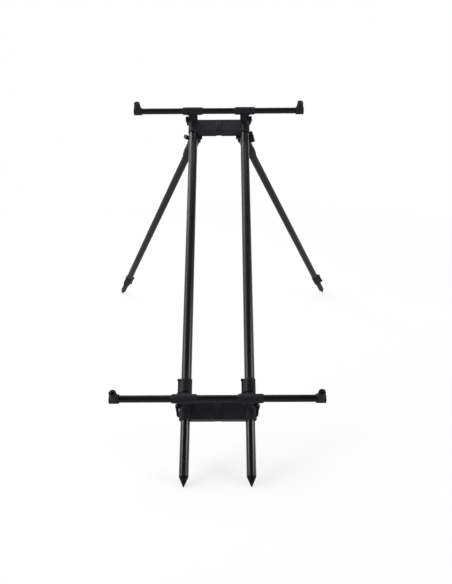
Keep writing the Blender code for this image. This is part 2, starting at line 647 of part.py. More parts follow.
def build_front_leg(word, side, knob_turn):
    """One folding telescopic leg."""
    leg = Leg(side)
    node(f"{word}_hinge_bracket", hinge_bracket(side, leg), FRONT, "moulding")
    node(f"{word}_leg_head", leg_head(leg), leg.frame, "moulding")
    node(f"{word}_hinge_bolt", hinge_bolt(), leg.bolt, "dark_steel")
    node(f"{word}_hinge_knob", wing_knob(), leg.bolt @ turn(knob_turn, "Z"), "lever")
    tube = pipe(LEG_TUBE_RADIUS, LEG_TUBE_RADIUS - TUBE_WALL, 0, LEG_TUBE_LENGTH, ROUND)
    node(f"{word}_front_leg_tube", tube, leg.frame @ at(0, 0, LEG_TUBE_START), "satin_tube")
    collar = leg.frame @ at(0, 0, leg.collar)
    shape = lock_collar(LEG_TUBE_RADIUS, INNER_LEG_RADIUS, LEG_COLLAR_TAPER)
    node(f"{word}_leg_lock_collar", shape, collar, "moulding")
    hinge = collar @ at(*lock_pin_at(LEG_TUBE_RADIUS), 0)
    node(f"{word}_leg_lock_lever", lock_lever(LEG_TUBE_RADIUS), hinge, "lever")
    node(f"{word}_leg_lock_pin", lock_pin(), hinge, "steel")
    inner = pipe(INNER_LEG_RADIUS, INNER_LEG_RADIUS - TUBE_WALL, -INNER_LEG_LENGTH, 0, ROUND)
    node(f"{word}_front_inner_tube", inner, leg.frame @ at(0, 0, leg.inner_end), "satin_tube")
    foot = leg.frame @ at(0, 0, leg.length) @ turn(180, "X")
    node(f"{word}_front_spike", spike(INNER_LEG_RADIUS), foot, "dark_steel")


def build():
    for old in list(bpy.data.objects):
        bpy.data.objects.remove(old)
    build_crosspieces()
    for name, place in (("front", FRONT), ("rear", REAR)):
        build_bar_holders(name, place)
        build_bar(name, place)
    build_main_tubes()
    build_rear_legs()
    for (word, side), knob_turn in zip(SIDES, (LEFT_KNOB_TURN, RIGHT_KNOB_TURN)):
        build_front_leg(word, side, knob_turn)


build()
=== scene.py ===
import json
import math

import bmesh
import bpy
from mathutils import Matrix, Vector

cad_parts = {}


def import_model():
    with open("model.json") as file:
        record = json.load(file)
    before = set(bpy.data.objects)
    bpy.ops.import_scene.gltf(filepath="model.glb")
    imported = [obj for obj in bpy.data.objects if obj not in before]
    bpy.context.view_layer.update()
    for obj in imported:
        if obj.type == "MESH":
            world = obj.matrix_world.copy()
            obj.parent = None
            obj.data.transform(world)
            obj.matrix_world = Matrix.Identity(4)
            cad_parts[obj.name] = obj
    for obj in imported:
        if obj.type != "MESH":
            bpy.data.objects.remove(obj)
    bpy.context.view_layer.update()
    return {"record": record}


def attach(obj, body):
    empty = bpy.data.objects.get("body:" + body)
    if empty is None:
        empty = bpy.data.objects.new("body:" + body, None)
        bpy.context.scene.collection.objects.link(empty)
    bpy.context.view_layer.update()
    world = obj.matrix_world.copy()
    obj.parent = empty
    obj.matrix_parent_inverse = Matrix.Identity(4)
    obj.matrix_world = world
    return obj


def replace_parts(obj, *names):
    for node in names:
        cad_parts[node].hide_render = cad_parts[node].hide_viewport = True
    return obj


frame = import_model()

BODY_OF = {node: body for body, nodes in frame["record"]["behaviour"]["bodies"].items() for node in nodes}

# Sizes repeated from the part's source, in metres and degrees
TUBE_SLOPE = 42.4
TUBE_SPACING = 0.160
HALF_SPACING = TUBE_SPACING / 2
REAR_CROSSPIECE_AT = 0.180
FRONT_CROSSPIECE_AT = 1.087
FRONT_FEET_SPREAD = 0.860
FRONT_FEET_REACH = 1.263

MAIN_TUBE_RADIUS = 0.013
REAR_TUBE_RADIUS = 0.0115
REAR_TUBE_LENGTH = 0.760
LEG_TUBE_RADIUS = 0.012
LEG_TUBE_LENGTH = 0.774
INNER_LEG_RADIUS = 0.010
INNER_LEG_LENGTH = 0.680
BAR_RADIUS = 0.0088
TUBE_WALL = 0.0012
FIT = 0.0003
LEVER_GAP = 0.0004

SPIKE_LENGTH = 0.024
SPIKE_TIP_RADIUS = 0.0012
SPIKE_COLLAR = 0.002
SPIGOT_LENGTH = 0.018
CAP_THICKNESS = 0.002

PLATE_LENGTH = 0.047
PLATE_THICKNESS = 0.0251
PLATE_CORNER = 0.0020
PLATE_OVERLAP = 0.0031
RING_WALL = 0.003
RING_BELOW = 0.0243
RING_CHAMFER = 0.0025
RING_ABOVE = 0.0287
BAND_WIDTH = 0.0215
BAND_HEIGHT = 0.002
GROOVE_WIDTH = 0.017
GROOVE_DEPTH = 0.003

HOLDER_AT = 0.0145
BAR_HEIGHT = 0.059
TOWER_RADIUS = 0.014
TOWER_TOP = 0.041
POST_RADIUS = 0.0114
POST_BOTTOM = 0.018
POST_FLANGE_RADIUS = 0.01285
POST_FLANGE = 0.002
SLEEVE_RADIUS = 0.0115
SLEEVE_LENGTH = 0.063
SLEEVE_CHAMFER = 0.0053
SLEEVE_END_RADIUS = 0.0102
WEB_THICKNESS = 0.009
WEB_HALF_WIDTH = 0.0205
WEB_ROOT_DROP = 0.009
WEB_FOOT_HALF_WIDTH = 0.0116

CAM_PIN_OUT = 0.018
CAM_PIN_BACK = 0.0125
CAM_PIN_RADIUS = 0.0016
CAM_PIN_HEAD = 0.0008
CAM_LUG_RADIUS = 0.005
CAM_LUG_HEIGHT = 0.0115
CAM_LUG_TOP = 0.0387
CAM_LEVER_HEIGHT = 0.0075
CAM_HEAD_RADIUS = 0.0042
CAM_ARM_LENGTH = 0.025
CAM_ARM_TIP_RADIUS = 0.0026
CAM_ARM_TOE_IN = 8.0

TEE_SPACING = 0.496
TEE_LENGTH = 0.024
TEE_RADIUS = 0.0115
TEE_END_WALL = 0.0024
TEE_LEAN = 12.0
SOCKET_RADIUS = 0.009
SOCKET_HEIGHT = 0.030
INSERT_RADIUS = 0.0062
INSERT_BORE = 0.0044
INSERT_LENGTH = 0.0155
EDGE = 0.0006

COLLAR_LENGTH = 0.042
COLLAR_SEAT = 0.024
COLLAR_WALL = 0.0020
MAIN_COLLAR_AT = 0.262
LEG_COLLAR_TAPER = 0.010
LUG_LENGTH = 0.0057
LUG_RADIUS = 0.0046
KNUCKLE_RADIUS = 0.0030
LOCK_PIN_RADIUS = 0.0016
LOCK_PIN_ANGLE = -11.0
LOCK_LEVER_THICKNESS = 0.0030
LOCK_LEVER_END_ANGLE = -128.0

HINGE_BACK = 0.011
HINGE_DROP = 0.040
HINGE_HALF_SPACING = 0.0785
TONGUE_THICKNESS = 0.0124
TONGUE_RADIUS = 0.013
STOP_RADIUS = 0.0155
STOP_SHOULDER_DROP = 0.0073
FOOT_PLATE_THICKNESS = 0.006
FOOT_PLATE_INNER = 0.053
FOOT_PLATE_OUTER = 0.080
FOOT_PLATE_LENGTH = 0.038
HEAD_RADIUS = 0.0165
HEAD_CHEEK_RADIUS = 0.015
HEAD_CORNER_RADIUS = 0.018
HEAD_SHOULDER = 0.022
HEAD_WAIST_START = 0.034
HEAD_WAIST_AT = 0.046
HEAD_WAIST_RADIUS = 0.0146
HEAD_FLANGE_RADIUS = 0.017
HEAD_NECK_AT = 0.061
HEAD_NECK_RADIUS = 0.0158
HEAD_LENGTH = 0.074
HEAD_SLOT_DEPTH = 0.014
LEG_TUBE_START = 0.028
BOLT_RADIUS = 0.004
BOLT_HEAD_RADIUS = 0.007
BOLT_HEAD = 0.0022
BOLT_THREAD = 0.012
KNOB_HUB_RADIUS = 0.0072
KNOB_LENGTH = 0.0165
KNOB_WING_SPAN = 0.034
KNOB_WING_WIDTH = 0.0115
KNOB_WING_DEPTH = 0.0155
KNOB_WING_CORNER = 0.002

# Sizes of the trim, which only this script draws
BAND_SLOPE = 0.0032
SOCKET_ROOT_RADIUS = 0.0112
SOCKET_ROOT_RISE = 0.6
THREAD_PITCH = 0.00127
THREAD_DEPTH = 0.0005
THREAD_STEPS = 6
COLLAR_GROOVE = 0.0005
CAP_DOME = ((0.97, 0.45), (0.80, 0.85), (0.5, 0.98))
KNOB_TAPER = 0.9
KNOB_TURNS = {"left": 42.0, "right": 47.0}
BOLT_SOCKET_RADIUS = 0.0029
FOOT_PLATE_CORNER = 0.002

RIDGE_RADIUS = 0.0007
CAM_RIDGES = 3
CAM_RIDGE_SPACING = 0.14
CAM_RIDGE_INSET = 0.0009
LOCK_RIDGES = 4
LOCK_RIDGE_START = 5.0
LOCK_RIDGE_SPACING = 7.0
LOCK_RIDGE_INSET = 0.003

SCREW_OUT = 0.0605
SCREW_SPACING = 0.026
SCREW_OUTLINE = ((0, 0), (0.0029, 0), (0.0026, 0.0011), (0.0012, 0.0016), (0, 0.0017))
SCREW_SLOT = ((-0.0015, 0.0015), (-0.0003, 0.0003), (0.0008, 0.004))

# How far the edges of each shape are rounded
SPIKE_EDGE = 0.0004
BAND_EDGE = 0.0003
RING_EDGE = 0.0012
SLEEVE_EDGE = 0.001
POST_EDGE = 0.0005
CAM_PIN_EDGE = 0.0002
BARREL_EDGE = 0.0016
SOCKET_EDGE = 0.0008
COLLAR_EDGE = 0.0008
LUG_EDGE = 0.0006
LOCK_LEVER_EDGE = 0.0008
LOCK_PIN_EDGE = 0.0004
CHEEK_EDGE = 0.001
NECK_EDGE = 0.0008
BOLT_EDGE = 0.0005
KNOB_HUB_EDGE = 0.0015
KNOB_WING_EDGE = 0.0008
SCREW_EDGE = 0.0005

# Each moulding's grain in millimetres and rounds of smoothing, and for the levers the share of faces kept
CROSSPIECE_GRAIN = (0.65, 4)
HOLDER_GRAIN = (0.55, 3)
CAM_LEVER_GRAIN = (0.32, 3, 0.5)
TEE_GRAIN = (0.5, 3)
COLLAR_GRAIN = (0.45, 3)
LOCK_LEVER_GRAIN = (0.38, 2, 0.45)
HINGE_GRAIN = (0.55, 3)
KNOB_GRAIN = (0.45, 4)

# Segments in a full turn
ROUND = 72
ROUND_SMALL = 40
ROUND_TINY = 32
ROUND_RIDGE = 12
HEXAGON = 6

SIDES = (("left", -1), ("right", 1))


def at(x, y, z):
    return Matrix.Translation((x, y, z))


def turn(degrees, axis):
    return Matrix.Rotation(math.radians(degrees), 4, axis)


def frame_of(origin, x_axis, y_axis, z_axis):
    return Matrix.Translation(origin) @ Matrix((x_axis, y_axis, z_axis)).transposed().to_4x4()


UP_TUBE = turn(-90, "X")
DOWN_TUBE = turn(90, "X") @ turn(180, "Z")
ACROSS = turn(90, "Y")
FACING_BACK = turn(90, "X")
FACING_SIDE = Matrix(((0, 0, 1, 0), (1, 0, 0, 0), (0, 1, 0, 0), (0, 0, 0, 1)))
POD = at(0, -FRONT_FEET_REACH / 2, SPIKE_TIP_RADIUS) @ turn(TUBE_SLOPE, "X")
FRONT = POD @ at(0, FRONT_CROSSPIECE_AT, 0)
REAR = POD @ at(0, REAR_CROSSPIECE_AT, 0)


# Outlines


def arc(centre, radius, start, end, steps):
    angles = (math.radians(start + (end - start) * step / steps) for step in range(steps + 1))
    return [(centre[0] + radius * math.cos(a), centre[1] + radius * math.sin(a)) for a in angles]


def rounded(points, radius, closed=False, steps=3):
    """An outline with its corners rounded; the ends of an open one and nearly straight corners stay."""
    straight, share = math.radians(172), 0.45
    result = []
    for index, point in enumerate(points):
        if not closed and index in (0, len(points) - 1):
            result.append(point)
            continue
        corner = Vector(point)
        back = Vector(points[index - 1]) - corner
        ahead = Vector(points[(index + 1) % len(points)]) - corner
        angle = back.angle(ahead)
        if angle > straight:
            result.append(point)
            continue
        reach = min(radius / math.tan(angle / 2), share * back.length, share * ahead.length)
        start, end = corner + back.normalized() * reach, corner + ahead.normalized() * reach
        for step in range(steps + 1):
            t = step / steps
            result.append(tuple(start * (1 - t) ** 2 + corner * 2 * t * (1 - t) + end * t * t))
    return result


# Solids


def mesh_from(bm):
    bmesh.ops.recalc_face_normals(bm, faces=bm.faces)
    mesh = bpy.data.meshes.new("shape")
    bm.to_mesh(mesh)
    bm.free()
    return mesh


def turned(outline, segments=ROUND):
    """An outline of (radius, height) points turned about z."""
    bm = bmesh.new()
    rings = []
    for radius, height in outline:
        if radius < 1e-9:
            rings.append([bm.verts.new((0.0, 0.0, height))])
            continue
        angles = (math.tau * step / segments for step in range(segments))
        rings.append([bm.verts.new((radius * math.cos(a), radius * math.sin(a), height)) for a in angles])
    pairs = list(zip(rings, rings[1:]))
    if len(rings[0]) > 1 or len(rings[-1]) > 1:
        pairs.append((rings[-1], rings[0]))
    for low, high in pairs:
        for step in range(segments):
            corners = [low[step % len(low)], low[(step + 1) % len(low)]]
            corners += [high[(step + 1) % len(high)], high[step % len(high)]]
            bm.faces.new(list(dict.fromkeys(corners)))
    return mesh_from(bm)


def cylinder(radius, low, high, segments=ROUND):
    return turned([(0, low), (radius, low), (radius, high), (0, high)], segments)


def flared(radius, low, high, flare=0.0005):
    """A cutter for a bore that leaves a small chamfer where it breaks out at low and high."""
    wide = radius + flare
    far = 0.02
    return turned([(0, low - far), (wide + far, low - far), (wide, low), (radius, low + flare),
                   (radius, high - flare), (wide, high), (wide + far, high + far), (0, high + far)])


def pipe(radius, bore, low, high, lip=0.0003):
    return turned(rounded([(bore, low), (radius, low), (radius, high), (bore, high)], lip, closed=True))


def prism(outline, low, high, edge=0.0):
    """A flat outline raised from low to high along z, with its rims rounded."""
    bm = bmesh.new()
    face = bm.faces.new([bm.verts.new((x, y, low)) for x, y in outline])
    raised = bmesh.ops.extrude_face_region(bm, geom=[face])
    top = [part for part in raised["geom"] if isinstance(part, bmesh.types.BMVert)]
    bmesh.ops.translate(bm, verts=top, vec=(0, 0, high - low))
    bmesh.ops.recalc_face_normals(bm, faces=bm.faces)
    if edge:
        rims = [e for e in bm.edges if abs(e.verts[0].co.z - e.verts[1].co.z) < 1e-7]
        bmesh.ops.bevel(bm, geom=rims, offset=edge, segments=3, profile=0.5, affect="EDGES")
    return mesh_from(bm)


def block(x_range, y_range, z_range):
    (x0, x1), (y0, y1) = x_range, y_range
    return prism([(x0, y0), (x1, y0), (x1, y1), (x0, y1)], *z_range)


def moved(mesh, matrix):
    mesh.transform(matrix)
    return mesh


def evaluated(mesh, *steps):
    """The mesh after modifiers, worked in millimetres."""
    body = bpy.data.objects.new("work", moved(mesh, Matrix.Scale(1000, 4)))
    bpy.context.collection.objects.link(body)
    used = [body]
    for kind, settings in steps:
        step = body.modifiers.new(kind, kind)
        for key, value in settings.items():
            if key == "object":
                value = bpy.data.objects.new("tool", moved(value, Matrix.Scale(1000, 4)))
                bpy.context.collection.objects.link(value)
                used.append(value)
            setattr(step, key, value)
    ready = body.evaluated_get(bpy.context.evaluated_depsgraph_get())
    result = bpy.data.meshes.new_from_object(ready)
    for item in used:
        bpy.data.objects.remove(item)
    return moved(result, Matrix.Scale(0.001, 4))


def combined(operation, base, others):
    return evaluated(base, *(("BOOLEAN", {"operation": operation, "solver": "MANIFOLD", "object": other})
                             for other in others))


def cut(base, *others):
    return combined("DIFFERENCE", base, others)


def joined(base, *others):
    return combined("UNION", base, others)


def common(base, *others):
    return combined("INTERSECT", base, others)


def moulded(solids, grain, rounds, keep=0.4):
    """One moulding made of overlapping solids, with soft edges and soft inner corners."""
    bm = bmesh.new()
    for solid in solids:
        bm.from_mesh(solid)
    return evaluated(mesh_from(bm),
                     ("REMESH", {"mode": "VOXEL", "voxel_size": grain}),
                     ("SMOOTH", {"factor": 0.5, "iterations": rounds}),
                     ("DECIMATE", {"decimate_type": "COLLAPSE", "ratio": keep}))


# Shader nodes


def ranged(tree, source, before, after, kind="LINEAR"):
    """Values of a source from before[0] to before[1], mapped to run from after[0] to after[1]."""
    made = tree.nodes.new("ShaderNodeMapRange")
    made.interpolation_type = kind
    for key, value in zip(("From Min", "From Max", "To Min", "To Max"), (*before, *after)):
        made.inputs[key].default_value = value
    tree.links.new(source, made.inputs["Value"])
    return made.outputs["Result"]


def larger(tree, first, second):
    """The larger of two values."""
    made = tree.nodes.new("ShaderNodeMath")
    made.operation = "MAXIMUM"
    tree.links.new(first, made.inputs[0])
    tree.links.new(second, made.inputs[1])
    return made.outputs["Value"]


# Materials: each is a shader whose colour, gloss and relief come from noise in the piece's own space

NOISE_MIDDLE = (0.3, 0.7)


class Surface:
    """One procedural material and short ways to feed its shader."""

    def __init__(self, name):
        self.material = bpy.data.materials.new(name)
        self.material.use_nodes = True
        self.tree = self.material.node_tree
        self.shader = self.tree.nodes["Principled BSDF"]
        self.place = self.add("ShaderNodeTexCoord").outputs["Object"]

    def add(self, kind, **settings):
        made = self.tree.nodes.new(kind)
        for key, value in settings.items():
            setattr(made, key, value)
        return made

    def link(self, source, target):
        self.tree.links.new(source, target)

    def noise(self, scale, detail=3.0, roughness=0.5, stretch=(1, 1, 1)):
        """Noise from 0 to 1, its grain about 1/scale metres, stretched along the axes with low factors."""
        mapping = self.add("ShaderNodeMapping")
        mapping.inputs["Scale"].default_value = [scale * factor for factor in stretch]
        self.link(self.place, mapping.inputs["Vector"])
        grain = self.add("ShaderNodeTexNoise")
        grain.inputs["Scale"].default_value = 1.0
        grain.inputs["Detail"].default_value = detail
        grain.inputs["Roughness"].default_value = roughness
        self.link(mapping.outputs["Vector"], grain.inputs["Vector"])
        return grain.outputs["Fac"]

    def spread(self, source, low, high):
        """The middle of a noise stretched to run from low to high."""
        return ranged(self.tree, source, NOISE_MIDDLE, (low, high))

    def colour(self, source, dark, light):
        """The base colour, from dark to light by a source."""
        made = self.add("ShaderNodeMix", data_type="RGBA")
        made.inputs["A"].default_value = (*dark, 1.0)
        made.inputs["B"].default_value = (*light, 1.0)
        self.link(source, made.inputs["Factor"])
        self.link(made.outputs["Result"], self.shader.inputs["Base Color"])

    def roughness(self, source, low, high):
        self.link(self.spread(source, low, high), self.shader.inputs["Roughness"])

    def relief(self, *layers):
        """Bumps from (height source, strength, depth in metres) layers, one on top of the other."""
        normal = None
        for source, strength, depth in layers:
            bump = self.add("ShaderNodeBump")
            bump.inputs["Strength"].default_value = strength
            bump.inputs["Distance"].default_value = depth
            self.link(source, bump.inputs["Height"])
            if normal:
                self.link(normal, bump.inputs["Normal"])
            normal = bump.outputs["Normal"]
        self.link(normal, self.shader.inputs["Normal"])

    def set(self, **values):
        for key, value in values.items():
            self.shader.inputs[key.replace("_", " ")].default_value = value


def anodised(name, dark, light, roughness, specular):
    """Anodised tube: fine drawing marks along the tube, faint handling smears and clear highlights."""
    made = Surface(name)
    marks = made.noise(2600, detail=2.0, roughness=0.6, stretch=(1, 1, 0.012))
    smears = made.noise(38, detail=4.0, roughness=0.55, stretch=(1, 1, 0.35))
    made.colour(made.spread(smears, 0, 1), dark, light)
    made.roughness(smears, *roughness)
    made.relief((marks, 0.06, 0.00002))
    made.set(Specular_IOR_Level=specular)
    return made.material


def nylon(name, dark, light, roughness, depth, specular):
    """Moulded nylon: a fine spark texture over slow flow shading."""
    made = Surface(name)
    flow = made.noise(55)
    spark = made.noise(2300, detail=2.0, roughness=0.7)
    pits = made.noise(5200, detail=1.0)
    made.colour(made.spread(flow, 0, 1), dark, light)
    made.roughness(spark, *roughness)
    made.relief((spark, 0.55, depth), (pits, 0.25, depth / 2))
    made.set(Specular_IOR_Level=specular)
    return made.material


def turned_metal(name, dark, light, roughness):
    """Turned metal: rings from the lathe and a little staining."""
    made = Surface(name)
    rings = made.noise(3200, detail=2.0, roughness=0.6, stretch=(0.02, 0.02, 1))
    stains = made.noise(260)
    made.colour(made.spread(stains, 0, 1), dark, light)
    made.roughness(stains, *roughness)
    made.relief((rings, 0.25, 0.00003))
    made.set(Metallic=1.0)
    return made.material


MATERIALS = {
    "gloss_tube": anodised("black_gloss_anodised", (0.0030, 0.0030, 0.0038), (0.0052, 0.0052, 0.0064),
                           (0.24, 0.33), 0.48),
    "main_tube": anodised("black_main_anodised", (0.0030, 0.0030, 0.0039), (0.0052, 0.0052, 0.0066),
                          (0.32, 0.41), 0.40),
    "bar_tube": anodised("black_bar_anodised", (0.0030, 0.0030, 0.0040), (0.0052, 0.0052, 0.0066),
                         (0.34, 0.46), 0.19),
    "satin_tube": anodised("black_satin_anodised", (0.014, 0.014, 0.016), (0.020, 0.020, 0.0225),
                           (0.46, 0.57), 0.24),
    "moulding": nylon("textured_nylon", (0.0133, 0.0133, 0.0172), (0.0190, 0.0190, 0.0244),
                      (0.54, 0.68), 0.00005, 0.16),
    "lever": nylon("smooth_nylon", (0.0045, 0.0045, 0.0058), (0.0070, 0.0070, 0.0086),
                   (0.40, 0.52), 0.00002, 0.20),
    "steel": turned_metal("turned_steel", (0.32, 0.32, 0.33), (0.46, 0.46, 0.47), (0.26, 0.40)),
    "dark_steel": turned_metal("blackened_steel", (0.008, 0.008, 0.009), (0.016, 0.016, 0.018),
                               (0.36, 0.50)),
    "insert": turned_metal("dull_steel", (0.035, 0.035, 0.037), (0.065, 0.065, 0.068), (0.36, 0.50)),
}
SHARED_SLOTS = {"main_tube": "gloss_tube", "bar_tube": "gloss_tube"}


def riding(name, mesh, place, finish, body, sharp_from=38.0):
    """A detailed piece that moves with a body."""
    mesh.name = name
    mesh.materials.clear()
    mesh.materials.append(MATERIALS[finish])
    mesh.shade_smooth()
    mesh.set_sharp_from_angle(angle=math.radians(sharp_from))
    made = bpy.data.objects.new(name, mesh)
    bpy.context.collection.objects.link(made)
    made.matrix_world = place
    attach(made, body)
    SHARED_SLOTS.get(finish, finish)
    return made


def piece(node, mesh, place, finish, sharp_from=38.0):
    """A detailed piece that stands for one solid."""
    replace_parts(riding(node + "_shape", mesh, place, finish, BODY_OF[node], sharp_from), node)


# Shapes


def spike(tube_radius):
    """A cone with a small round point at the bottom and a spigot that goes into the tube."""
    cone = SPIKE_LENGTH - SPIKE_COLLAR
    collar = SPIKE_LENGTH - FIT
    spigot = tube_radius - TUBE_WALL - FIT
    slope = math.degrees(math.asin((tube_radius - SPIKE_TIP_RADIUS) / cone))
    tip = arc((0, 0), SPIKE_TIP_RADIUS, -90, -slope, steps=6)
    body = rounded([tip[-1], (tube_radius, cone), (tube_radius, collar), (spigot, collar),
                    (spigot, SPIKE_LENGTH + SPIGOT_LENGTH), (0, SPIKE_LENGTH + SPIGOT_LENGTH)], SPIKE_EDGE)
    return turned(tip + body[1:])


def grooved_plate():
    """The plate of a crosspiece, grooved underneath."""
    along, top = PLATE_LENGTH / 2, PLATE_THICKNESS / 2
    section = rounded([(-along, -top), (along, -top), (along, top), (-along, top)],
                      PLATE_CORNER, closed=True, steps=5)
    end = HALF_SPACING - PLATE_OVERLAP
    groove = block((-GROOVE_WIDTH / 2, GROOVE_WIDTH / 2), (-PLATE_LENGTH, PLATE_LENGTH),
                   (-PLATE_THICKNESS, GROOVE_DEPTH - top))
    return cut(moved(prism(section, -end, end), FACING_SIDE), groove)


def middle_band():
    """The raised band with sloping sides on top of the plate."""
    half, top = BAND_WIDTH / 2, PLATE_THICKNESS / 2
    outline = [(-half, top - BAND_HEIGHT), (half, top - BAND_HEIGHT),
               (half - BAND_SLOPE, top + BAND_HEIGHT), (BAND_SLOPE - half, top + BAND_HEIGHT)]
    end = PLATE_LENGTH / 2 - PLATE_CORNER - EDGE
    return moved(prism(outline, -end, end, BAND_EDGE), FACING_BACK)


def post_socket():
    """The cutter for the hole of a tower, with a small chamfer at its mouth."""
    hole = POST_RADIUS + FIT
    return turned([(0, POST_BOTTOM - FIT), (hole, POST_BOTTOM - FIT), (hole, TOWER_TOP - EDGE),
                   (hole + EDGE, TOWER_TOP), (hole + EDGE, TOWER_TOP + EDGE), (0, TOWER_TOP + EDGE)])


def crosspiece(tube_radius):
    """The plate, with a ring for the main tube, a tower and the lug of a cam lever at each end."""
    ring = MAIN_TUBE_RADIUS + RING_WALL
    ring_wall = rounded([(0, -RING_BELOW), (ring - RING_CHAMFER, -RING_BELOW),
                         (ring, RING_CHAMFER - RING_BELOW), (ring, RING_ABOVE), (0, RING_ABOVE)], RING_EDGE)
    tower_wall = rounded([(0, -tube_radius / 2), (TOWER_RADIUS, -tube_radius / 2), (TOWER_RADIUS, TOWER_TOP),
                          (0, TOWER_TOP)], RING_EDGE)
    reach = math.hypot(CAM_PIN_OUT, CAM_PIN_BACK)
    low = CAM_LUG_TOP - CAM_LUG_HEIGHT
    lug = arc((reach, 0), CAM_LUG_RADIUS, -90, 90, steps=16)
    lug += [(POST_RADIUS / 2, CAM_LUG_RADIUS), (POST_RADIUS / 2, -CAM_LUG_RADIUS)]
    solids = [grooved_plate()]
    cuts = []
    for _, side in SIDES:
        axis = at(side * HALF_SPACING, 0, 0) @ UP_TUBE
        solids.append(moved(turned(ring_wall), axis))
        cuts.append(moved(flared(tube_radius + FIT, -RING_BELOW, RING_ABOVE), axis))
        tower = at(side * HALF_SPACING, HOLDER_AT, 0)
        solids.append(moved(turned(tower_wall), tower))
        cuts.append(moved(post_socket(), tower))
        ear = tower @ turn(math.degrees(math.atan2(-CAM_PIN_BACK, side * CAM_PIN_OUT)), "Z")
        solids.append(moved(prism(lug, low, CAM_LUG_TOP), ear))
        hole = cylinder(CAM_PIN_RADIUS + FIT, low + FIT, TOWER_TOP, ROUND_TINY)
        cuts.append(moved(hole, ear @ at(reach, 0, 0)))
    return cut(joined(moulded(solids, *CROSSPIECE_GRAIN), middle_band()), *cuts)


def bar_holder():
    """The sleeve round the bar, the post under it and the web between them."""
    half = SLEEVE_LENGTH / 2
    straight = half - SLEEVE_CHAMFER
    outline = rounded([(0, -half), (SLEEVE_END_RADIUS, -half), (SLEEVE_RADIUS, -straight),
                       (SLEEVE_RADIUS, straight), (SLEEVE_END_RADIUS, half), (0, half)], SLEEVE_EDGE)
    flange_low = TOWER_TOP + FIT - BAR_HEIGHT
    flange_high = flange_low + POST_FLANGE
    post = rounded([(0, POST_BOTTOM - BAR_HEIGHT), (POST_RADIUS, POST_BOTTOM - BAR_HEIGHT),
                    (POST_RADIUS, flange_low), (POST_FLANGE_RADIUS, flange_low),
                    (POST_FLANGE_RADIUS, flange_high), (POST_RADIUS, flange_high),
                    (POST_RADIUS, 0), (0, 0)], POST_EDGE)
    foot = flange_high - POST_FLANGE / 2
    web = [(-WEB_HALF_WIDTH, -WEB_ROOT_DROP), (-WEB_FOOT_HALF_WIDTH, foot), (WEB_FOOT_HALF_WIDTH, foot),
           (WEB_HALF_WIDTH, -WEB_ROOT_DROP), (WEB_HALF_WIDTH, 0), (-WEB_HALF_WIDTH, 0)]
    solids = [moved(turned(outline), ACROSS), turned(post),
              moved(prism(web, -WEB_THICKNESS / 2, WEB_THICKNESS / 2), FACING_BACK)]
    return cut(moulded(solids, *HOLDER_GRAIN), moved(flared(BAR_RADIUS + FIT, -half, half), ACROSS))


def cam_lever(side):
    """The lever with finger ridges on the outer face of its tip."""
    toe_in = math.radians(CAM_ARM_TOE_IN)
    tip = (-side * CAM_ARM_LENGTH * math.sin(toe_in), -CAM_ARM_LENGTH * math.cos(toe_in))
    outline = arc((0, 0), CAM_HEAD_RADIUS, 0, 180, steps=20)
    outline += arc(tip, CAM_ARM_TIP_RADIUS, 180, 360, steps=16)
    solids = [prism(outline, 0, CAM_LEVER_HEIGHT)]
    for step in range(CAM_RIDGES):
        along = 1 - CAM_RIDGE_SPACING * step
        outer = side * (CAM_ARM_TIP_RADIUS + (CAM_HEAD_RADIUS - CAM_ARM_TIP_RADIUS) * (1 - along))
        ridge = cylinder(RIDGE_RADIUS, CAM_RIDGE_INSET, CAM_LEVER_HEIGHT - CAM_RIDGE_INSET, ROUND_RIDGE)
        solids.append(moved(ridge, at(tip[0] * along + outer, tip[1] * along, 0)))
    hole = cylinder(CAM_PIN_RADIUS + FIT, -CAM_LEVER_HEIGHT, 2 * CAM_LEVER_HEIGHT, ROUND_TINY)
    return cut(moulded(solids, *CAM_LEVER_GRAIN), hole)


def cam_pin():
    """The pin of a cam lever, with a dimple in its low head."""
    low = 2 * FIT - CAM_LUG_HEIGHT
    high = CAM_LEVER_HEIGHT + 2 * FIT
    head = CAM_HEAD_RADIUS - 2 * EDGE
    top = high + CAM_PIN_HEAD
    outline = rounded([(0, low), (CAM_PIN_RADIUS, low), (CAM_PIN_RADIUS, high), (head, high),
                       (head, top - CAM_PIN_HEAD / 4), (head / 2, top), (head / 3, top),
                       (head / 4, top - CAM_PIN_HEAD / 2), (0, top - CAM_PIN_HEAD / 2)], CAM_PIN_EDGE)
    return turned(outline, ROUND_SMALL)


def tee(side):
    """The barrel on the end of the bar and the leaning socket for a rod rest."""
    half = TEE_LENGTH / 2
    barrel = rounded([(0, -half), (TEE_RADIUS, -half), (TEE_RADIUS, half), (0, half)], BARREL_EDGE, steps=5)
    socket = rounded([(0, 0), (SOCKET_ROOT_RADIUS, 0), (SOCKET_ROOT_RADIUS, TEE_RADIUS * SOCKET_ROOT_RISE),
                      (SOCKET_RADIUS, SOCKET_HEIGHT - 2 * TEE_END_WALL), (SOCKET_RADIUS, SOCKET_HEIGHT),
                      (0, SOCKET_HEIGHT)], SOCKET_EDGE)
    lean = turn(-TEE_LEAN, "X")
    along_bar = turn(side * 90, "Y")
    solids = [moved(turned(barrel), along_bar), moved(turned(socket), lean)]
    bore = cylinder(BAR_RADIUS + FIT, -TEE_LENGTH, half - TEE_END_WALL)
    seat = SOCKET_HEIGHT - INSERT_LENGTH - 2 * FIT
    rim = INSERT_RADIUS + FIT
    hole = turned([(0, seat), (rim, seat), (rim, SOCKET_HEIGHT - FIT), (rim + EDGE, SOCKET_HEIGHT + FIT),
                   (rim + EDGE, 2 * SOCKET_HEIGHT), (0, 2 * SOCKET_HEIGHT)])
    return cut(moulded(solids, *TEE_GRAIN), moved(bore, along_bar), moved(hole, lean))


